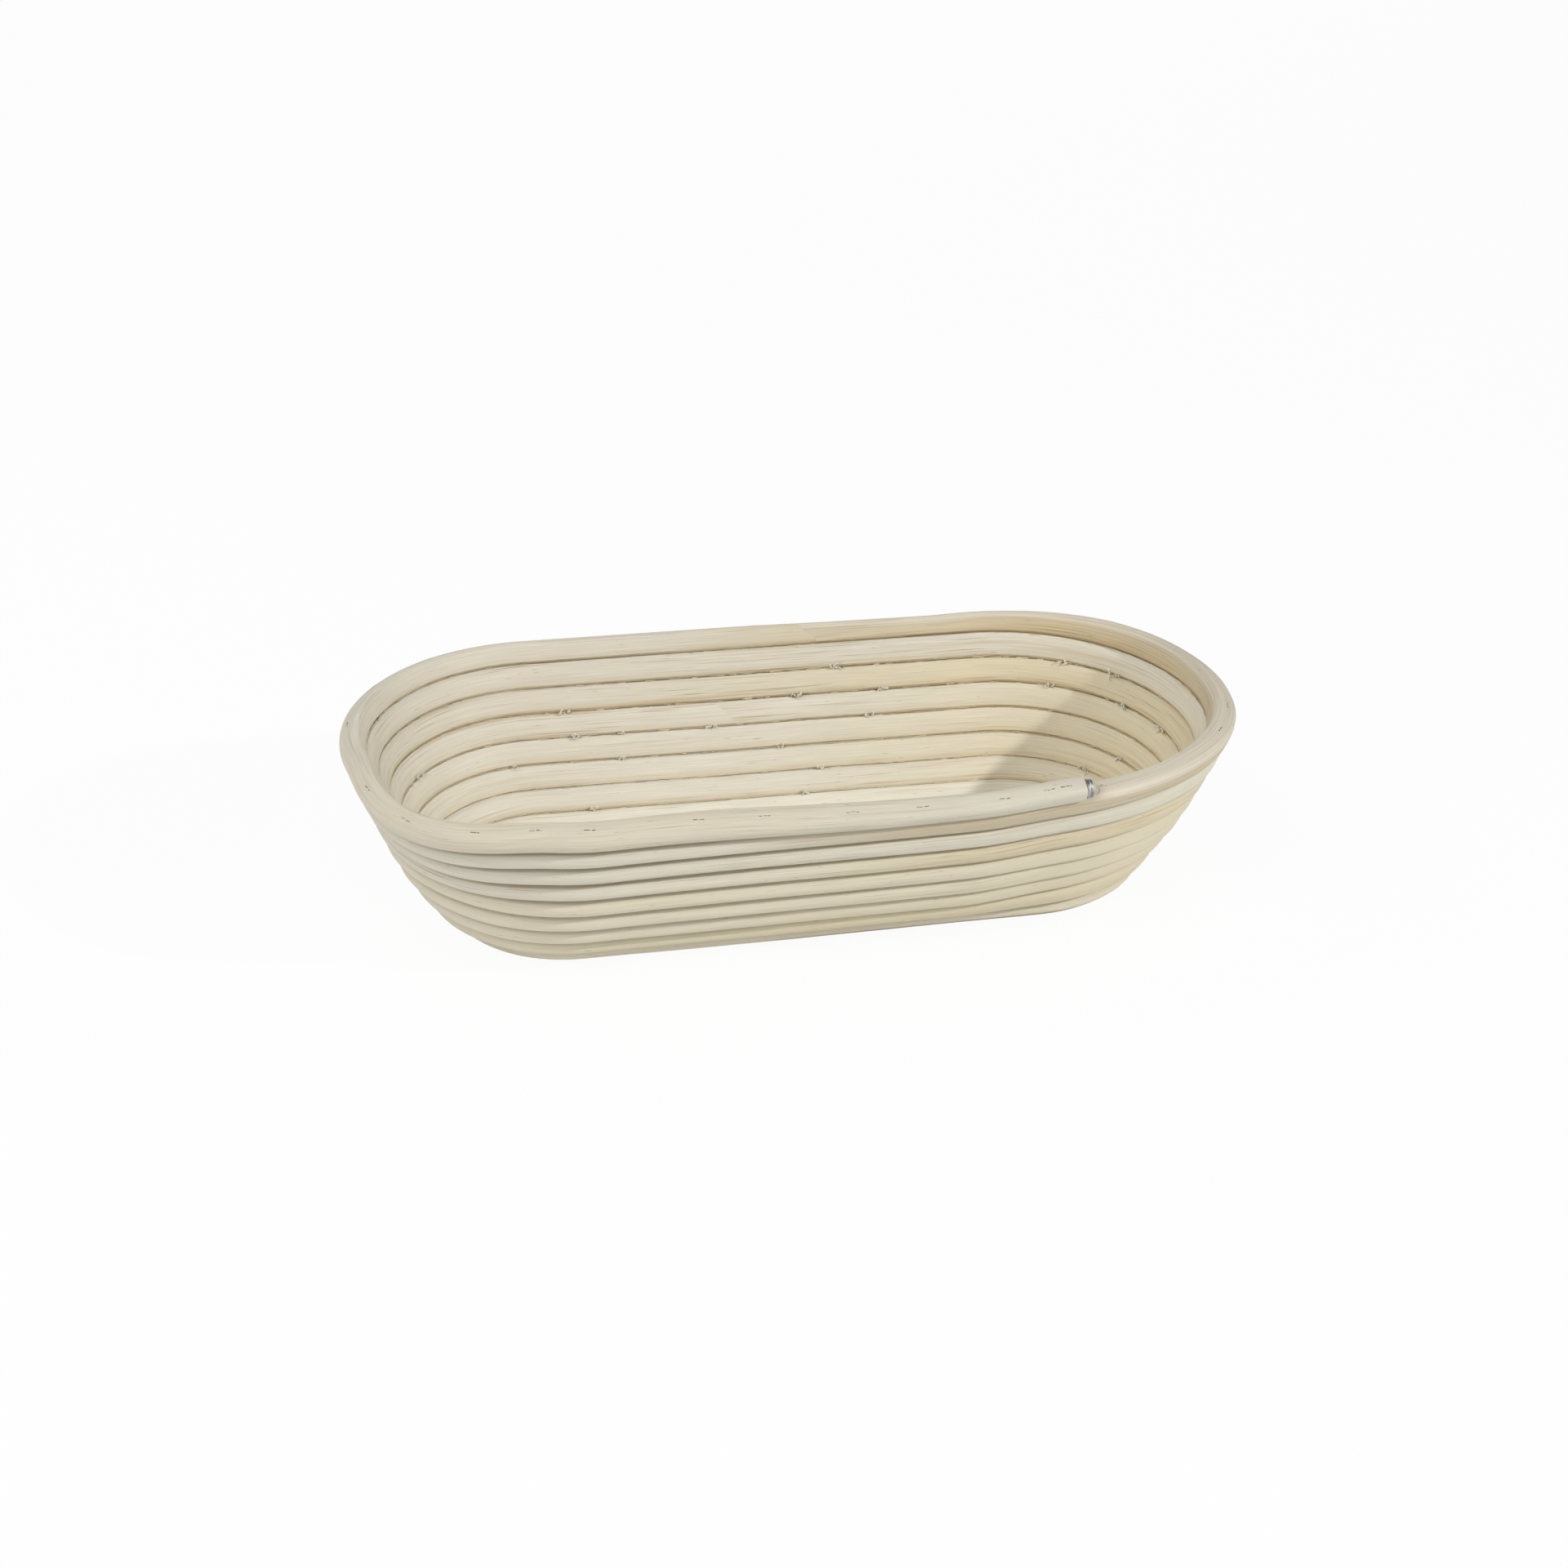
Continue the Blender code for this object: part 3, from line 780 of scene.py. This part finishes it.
def staple_frame(number):
    """Middle of a staple's crown, and the ways along the cane and up out of it, from its own solid."""
    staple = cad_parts[f"rim_staple_{number:02d}"]
    points = np.array([vert.co for vert in staple.data.vertices])
    middle = points.mean(axis=0)
    turns = np.linspace(RIM_END - 1, RIM_END, SEARCH_STEPS)
    gaps = [np.linalg.norm(np.array(coil_place(turn).point)[:2] - middle[:2]) for turn in turns]
    turn = float(turns[int(np.argmin(gaps))])
    place = coil_place(turn)
    along = along_cane(turn)
    up = wall_way(place.outward, place.slope)
    heights = points @ np.array(up)
    top = points[heights > heights.max() - CROWN_TOP].mean(axis=0)
    return Vector(top), along, up


def slot_cutter(torn):
    """Slots over the crowns of the staples, broken up by bridges of fibre."""
    rng = random.Random(SLOT_SEED)
    half = STAPLE_WIDTH / 2
    bm = bmesh.new()
    for number in range(1, STAPLES + 1):
        top, along, up = staple_frame(number)
        turned = Matrix((along, along.cross(up) * -1, up)).transposed().to_4x4()
        low = -half + rng.uniform(*SLOT_START)
        while low < half - SHORTEST_SLOT:
            high = min(low + rng.uniform(*SLOT_RUN), half)
            size = (high - low, rng.uniform(*SLOT_WIDTH), SLOT_HEIGHT)
            middle = top + along * (low + high) / 2 + up * (SLOT_HEIGHT / 2 + rng.uniform(*SLOT_RISE))
            middle += along.cross(up) * rng.uniform(*SLOT_SHIFT)
            turn = Matrix.Rotation(rng.uniform(*SLOT_TWIST), 4, "Z")
            shape = Matrix.Translation(middle) @ turned @ turn @ Matrix.Diagonal((*size, 1))
            bmesh.ops.create_cube(bm, size=1, matrix=shape)
            low = high + rng.uniform(*SLOT_BRIDGE)
    return link("staple_slots", closed_mesh(bm, "staple_slots"), torn)


def cut_slots(piece, slots):
    """Cut the slots out of a piece, whose cut faces take the slots' own finish."""
    boolean = piece.modifiers.new("staple_slots", "BOOLEAN")
    boolean.operation = "DIFFERENCE"
    boolean.object = slots
    boolean.material_mode = "TRANSFER"
    graph = bpy.context.evaluated_depsgraph_get()
    mesh = bpy.data.meshes.new_from_object(piece.evaluated_get(graph))
    piece.modifiers.clear()
    old = piece.data
    piece.data = mesh
    bpy.data.meshes.remove(old)


# Ferrule

def build_ferrule(finish):
    """Thin steel ring with two beads, turned from its section."""
    low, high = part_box("end_ferrule")
    along = along_cane(RIM_END)
    middle = (low + high) / 2
    bm = bmesh.new()
    inner = FERRULE_RADIUS - FERRULE_WALL
    half = FERRULE_LENGTH / 2
    outer = [(FERRULE_RADIUS + rise, half * (2 * share - 1)) for rise, share in FERRULE_BEAD]
    outer += [(radius, -height) for radius, height in reversed(outer)]
    section = [(inner, -half), *outer, (inner, half)]
    points = [bm.verts.new((radius, 0, height)) for radius, height in section]
    edges = [bm.edges.new(pair) for pair in zip(points, points[1:] + points[:1])]
    bmesh.ops.spin(bm, geom=points + edges, axis=(0, 0, 1), angle=math.tau, steps=FERRULE_STEPS,
                   use_merge=True)
    bmesh.ops.remove_doubles(bm, verts=bm.verts, dist=1e-6)
    turn = along.to_track_quat("Z", "Y").to_matrix().to_4x4()
    bmesh.ops.transform(bm, matrix=Matrix.Translation(middle) @ turn, verts=bm.verts)
    mesh = closed_mesh(bm, "end_ferrule")
    mesh.shade_smooth()
    mesh.set_sharp_from_angle(angle=FERRULE_SHARP)
    settle(link("end_ferrule_band", mesh, finish), "end_ferrule")


# Loose fibres and wire in the grooves

def spike_mesh():
    """A straight fibre of unit length and width, from its root at the origin to a point."""
    bm = bmesh.new()
    bmesh.ops.create_circle(bm, cap_ends=True, segments=SPIKE_SIDES, radius=0.5)
    edges = list(bm.edges)
    for _ in range(SPIKE_STEPS):
        grown = bmesh.ops.extrude_edge_only(bm, edges=edges)["geom"]
        ring = [item for item in grown if isinstance(item, bmesh.types.BMVert)]
        edges = [item for item in grown if isinstance(item, bmesh.types.BMEdge)]
        bmesh.ops.translate(bm, verts=ring, vec=(0, 0, 1 / SPIKE_STEPS))
    bmesh.ops.pointmerge(bm, verts=ring, merge_co=(0, 0, 1))
    return closed_mesh(bm, "spike")


def add_sliver(bm, spike, root, way, axis, length, width, bend):
    """A torn fibre: the straight one laid along a way from its root, and bent about an axis as it goes."""
    lie = way.to_track_quat("Z", "Y").to_matrix()
    level = axis * axis.dot(way)
    sliver = bmesh.new()
    sliver.from_mesh(spike)
    for vert in sliver.verts:
        turn = bend * vert.co.z
        arc = (way - level) * math.sin(turn) + axis.cross(way) * (1 - math.cos(turn))
        offset = lie @ Vector((vert.co.x * width, vert.co.y * width, 0))
        middle = root + (arc / bend + level * vert.co.z) * length
        vert.co = middle + Matrix.Rotation(turn, 3, axis) @ offset
    bent = bpy.data.meshes.new("sliver")
    sliver.to_mesh(bent)
    sliver.free()
    bm.from_mesh(bent)
    bpy.data.meshes.remove(bent)


def groove(turn):
    """Where a turn touches the next one up, and the ways in, along and up there."""
    lower = coil_place(turn).point
    upper = coil_place(turn + 1).point
    up = (upper - lower).normalized()
    along = along_cane(turn)
    return (lower + upper) / 2, up.cross(along).normalized(), along, up


def add_thread(bm, spike, rng, turn):
    """A fibre that lies along a groove and fills its mouth for a few millimetres."""
    contact, inward, along, up = groove(turn)
    way = along * rng.choice((-1, 1)) + inward * rng.uniform(-0.05, 0.1) + up * rng.uniform(-0.06, 0.06)
    root = contact + inward * rng.uniform(*THREAD_REACH) + up * rng.uniform(-0.00025, 0.00025)
    length = rng.uniform(*THREAD_LENGTH)
    width = rng.uniform(*THREAD_WIDTH)
    add_sliver(bm, spike, root, way.normalized(), up, length, width, rng.uniform(*THREAD_BEND))


def add_burr(fibres, shreds, spike, rng, turn, size):
    """A tuft torn up by a staple: pale curls over dark shreds of torn fibre, which also stand in for the
    shade in the tuft's hollow (painted shade).
    """
    contact, inward, along, up = groove(turn)
    for _ in range(rng.randint(*CURLS)):
        way = along * rng.uniform(-1, 1) + inward * rng.uniform(0.2, 0.6) + up * rng.uniform(-0.8, 0.8)
        root = contact + inward * rng.uniform(*CURL_REACH) + along * rng.uniform(*BURR_SPREAD) * size
        axis = inward + along * rng.uniform(-0.5, 0.5) + up * rng.uniform(-0.5, 0.5)
        length = rng.uniform(*CURL_LENGTH) * size
        bend = rng.uniform(*CURL_BEND) * rng.choice((-1, 1))
        width = rng.uniform(*CURL_WIDTH)
        add_sliver(fibres, spike, root, way.normalized(), axis.normalized(), length, width, bend)
    # Dark shreds: torn fibre, and painted shade in the hollow under the curls
    for _ in range(rng.randint(*SHREDS)):
        way = along * rng.choice((-1, 1)) + up * rng.uniform(-0.4, 0.4)
        root = contact + inward * rng.uniform(*SHRED_REACH) + along * rng.uniform(*BURR_SPREAD) * size
        length = rng.uniform(*SHRED_LENGTH) * size
        width = rng.uniform(*SHRED_WIDTH)
        add_sliver(shreds, spike, root, way.normalized(), inward, length, width, rng.uniform(*SHRED_BEND))


def add_wire(bm, rng, turn):
    """A stretch of a buried staple's crown, where it shows in a groove."""
    contact, inward, along, up = groove(turn)
    way = (along + up * rng.uniform(-0.25, 0.25)).normalized()
    middle = contact + inward * rng.uniform(*WIRE_REACH) + along * rng.uniform(-0.001, 0.001)
    turned = Matrix.Translation(middle) @ way.to_track_quat("Z", "Y").to_matrix().to_4x4()
    bmesh.ops.create_cone(bm, cap_ends=True, segments=WIRE_SIDES, radius1=WIRE_RADIUS, radius2=WIRE_RADIUS,
                          depth=rng.uniform(*WIRE_LENGTH), matrix=turned)


def build_groove_details(thread, fibre, shred, steel):
    """Threads all along the inside grooves, and burrs with glints of wire where staples were driven."""
    rng = random.Random(GROOVE_SEED)
    threads = bmesh.new()
    fibres = bmesh.new()
    shreds = bmesh.new()
    wires = bmesh.new()
    burrs = list(BURRS)
    spike = spike_mesh()
    turns, metres = walk_turns(FIRST_GROOVE, RIM_END - 1)
    walked = 0.0
    next_burr = FIRST_BURR
    while walked < metres[-1]:
        turn = float(np.interp(walked, metres, turns))
        add_thread(threads, spike, rng, turn)
        if walked > next_burr and turn % 1 < UNSEEN_SIDE:
            burrs.append((turn, rng.uniform(*BURR_SIZE)))
            next_burr = walked + rng.uniform(*BURR_SPACING)
        walked += rng.uniform(*THREAD_SPACING)
    for turn, size in burrs:
        add_burr(fibres, shreds, spike, rng, turn, size)
        if rng.random() < WIRE_SHARE:
            add_wire(wires, rng, turn)
    bpy.data.meshes.remove(spike)
    kinds = (
        ("groove_threads", threads, thread, "cream_cane"),
        ("groove_fibres", fibres, fibre, "pale_cane"),
        ("groove_shade_shreds", shreds, shred, "tan_cane"),
        ("groove_wires", wires, steel, "steel"),
    )
    for name, bm, finish, slot in kinds:
        mesh = closed_mesh(bm, name)
        mesh.shade_smooth()
        settle(link(name, mesh, finish), None)


# The basket
torn = torn_finish()
wire_steel = steel_finish("wire_steel", WIRE_GREY, WIRE_ROUGHNESS)
band_steel = steel_finish("band_steel", BAND_GREY, BAND_ROUGHNESS)
slots = slot_cutter(torn)
for length in LENGTHS:
    build_reed(length, slots)
bpy.data.objects.remove(slots)
for number in range(1, STAPLES + 1):
    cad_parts[f"rim_staple_{number:02d}"].data.materials[0] = wire_steel
build_ferrule(band_steel)
thread = fibre_finish("groove_thread", HONEY, TAN)
curl = fibre_finish("torn_curl", CURL_WHITE, CREAM)
build_groove_details(thread, curl, torn, band_steel)


# Floor, light and camera

FLOOR_SIZE = 6.0
FLOOR_DROP = 0.0002  # keeps the floor off the basket's flat foot
FLOOR_WHITE = 0.95  # the rest of what the camera sees is lit, and so keeps the shadow
FLOOR_GREY = (0.9, 0.9, 0.9)
WORLD_COLOUR = (0.96, 0.98, 1.0)
WORLD_STRENGTH = 0.06
WHITE = (1.0, 1.0, 1.0)
# Lamps: name, place, size in metres and power in watts
LAMPS = (
    ("key", (1.537, -1.12, 1.148), 0.07, 22.2),
    ("softbox", (-0.5, -0.75, 1.25), 1.0, 8.9),
    ("left_fill", (-1.2, -0.6, 0.6), 0.9, 3.8),
    ("back_fill", (-0.9, 0.6, 0.9), 0.9, 4.3),
    ("front_fill", (0.6, -1.3, 0.4), 0.8, 1.6),
    ("back_low", (0.3, 1.4, 0.4), 1.0, 4.4),
)
# Camera, by its aim, its distance and its turns from straight in front
AIM = Vector((-0.0041, 0.0, 0.0483))
CAMERA_DISTANCE = 2.2178
CAMERA_RISE = math.radians(27.44)
CAMERA_YAW = math.radians(15.16)
CAMERA_ROLL = math.radians(1.92)
FOCAL_PIXELS = 7000
PIXELS = 1920  # width and height of the photo's frame
SENSOR = 36.0
CLIP_END = 20.0


def floor_finish():
    """White to the camera and in reflections, with the basket's shadow kept."""
    finish = Finish("pale_floor")
    white = finish.node("ShaderNodeEmission", {}, {"Color": rgba(WHITE), "Strength": 1.0})
    seen = finish.node("ShaderNodeLightPath", output="Is Camera Ray")
    glossy = finish.node("ShaderNodeLightPath", output="Is Glossy Ray")
    through = finish.node("ShaderNodeLightPath", output="Is Transmission Ray")
    share = seen.math("MAXIMUM", seen.math("MAXIMUM", seen, glossy), through) * FLOOR_WHITE
    lit = finish.node("ShaderNodeBsdfDiffuse", {}, {"Color": rgba(FLOOR_GREY)})
    mixed = finish.node("ShaderNodeMixShader", {}, {0: share, 1: lit, 2: white})
    finish.node("ShaderNodeOutputMaterial", {}, {"Surface": mixed})
    return finish.material


def build_floor():
    bm = bmesh.new()
    lowered = Matrix.Translation((0, 0, -FLOOR_DROP))
    bmesh.ops.create_grid(bm, x_segments=1, y_segments=1, size=FLOOR_SIZE, matrix=lowered)
    mesh = bpy.data.meshes.new("floor")
    bm.to_mesh(mesh)
    bm.free()
    link("floor", mesh, floor_finish())


def build_world():
    """White behind the basket, and an even light from all round."""
    world = bpy.data.worlds.new("studio")
    bpy.context.scene.world = world
    world.use_nodes = True
    tree = world.node_tree
    tree.nodes.clear()
    path = tree.nodes.new("ShaderNodeLightPath")
    even = tree.nodes.new("ShaderNodeBackground")
    even.inputs["Color"].default_value = rgba(WORLD_COLOUR)
    even.inputs["Strength"].default_value = WORLD_STRENGTH
    white = tree.nodes.new("ShaderNodeBackground")
    white.inputs["Color"].default_value = rgba(WHITE)
    mixed = tree.nodes.new("ShaderNodeMixShader")
    output = tree.nodes.new("ShaderNodeOutputWorld")
    tree.links.new(path.outputs["Is Camera Ray"], mixed.inputs[0])
    tree.links.new(even.outputs[0], mixed.inputs[1])
    tree.links.new(white.outputs[0], mixed.inputs[2])
    tree.links.new(mixed.outputs[0], output.inputs["Surface"])


def area_light(name, place, size, power):
    """A square lamp that faces the basket."""
    lamp = bpy.data.lights.new(name, "AREA")
    lamp.size = size
    lamp.energy = power
    obj = bpy.data.objects.new(name, lamp)
    obj.location = place
    obj.rotation_euler = (AIM - Vector(place)).to_track_quat("-Z", "Y").to_euler()
    bpy.context.scene.collection.objects.link(obj)


def build_camera():
    camera = bpy.data.cameras.new("camera")
    camera.sensor_width = SENSOR
    camera.sensor_fit = "HORIZONTAL"
    camera.lens = FOCAL_PIXELS * SENSOR / PIXELS
    camera.clip_end = CLIP_END
    obj = bpy.data.objects.new("camera", camera)
    level = math.cos(CAMERA_RISE)
    back = Vector((-math.sin(CAMERA_YAW) * level, -math.cos(CAMERA_YAW) * level, math.sin(CAMERA_RISE)))
    turn = back.to_track_quat("Z", "Y").to_matrix() @ Matrix.Rotation(CAMERA_ROLL, 3, "Z")
    obj.matrix_world = Matrix.Translation(AIM + back * CAMERA_DISTANCE) @ turn.to_4x4()
    bpy.context.scene.collection.objects.link(obj)
    bpy.context.scene.camera = obj


build_floor()
build_world()
for lamp in LAMPS:
    area_light(*lamp)
build_camera()
bpy.context.scene.view_settings.view_transform = "Standard"
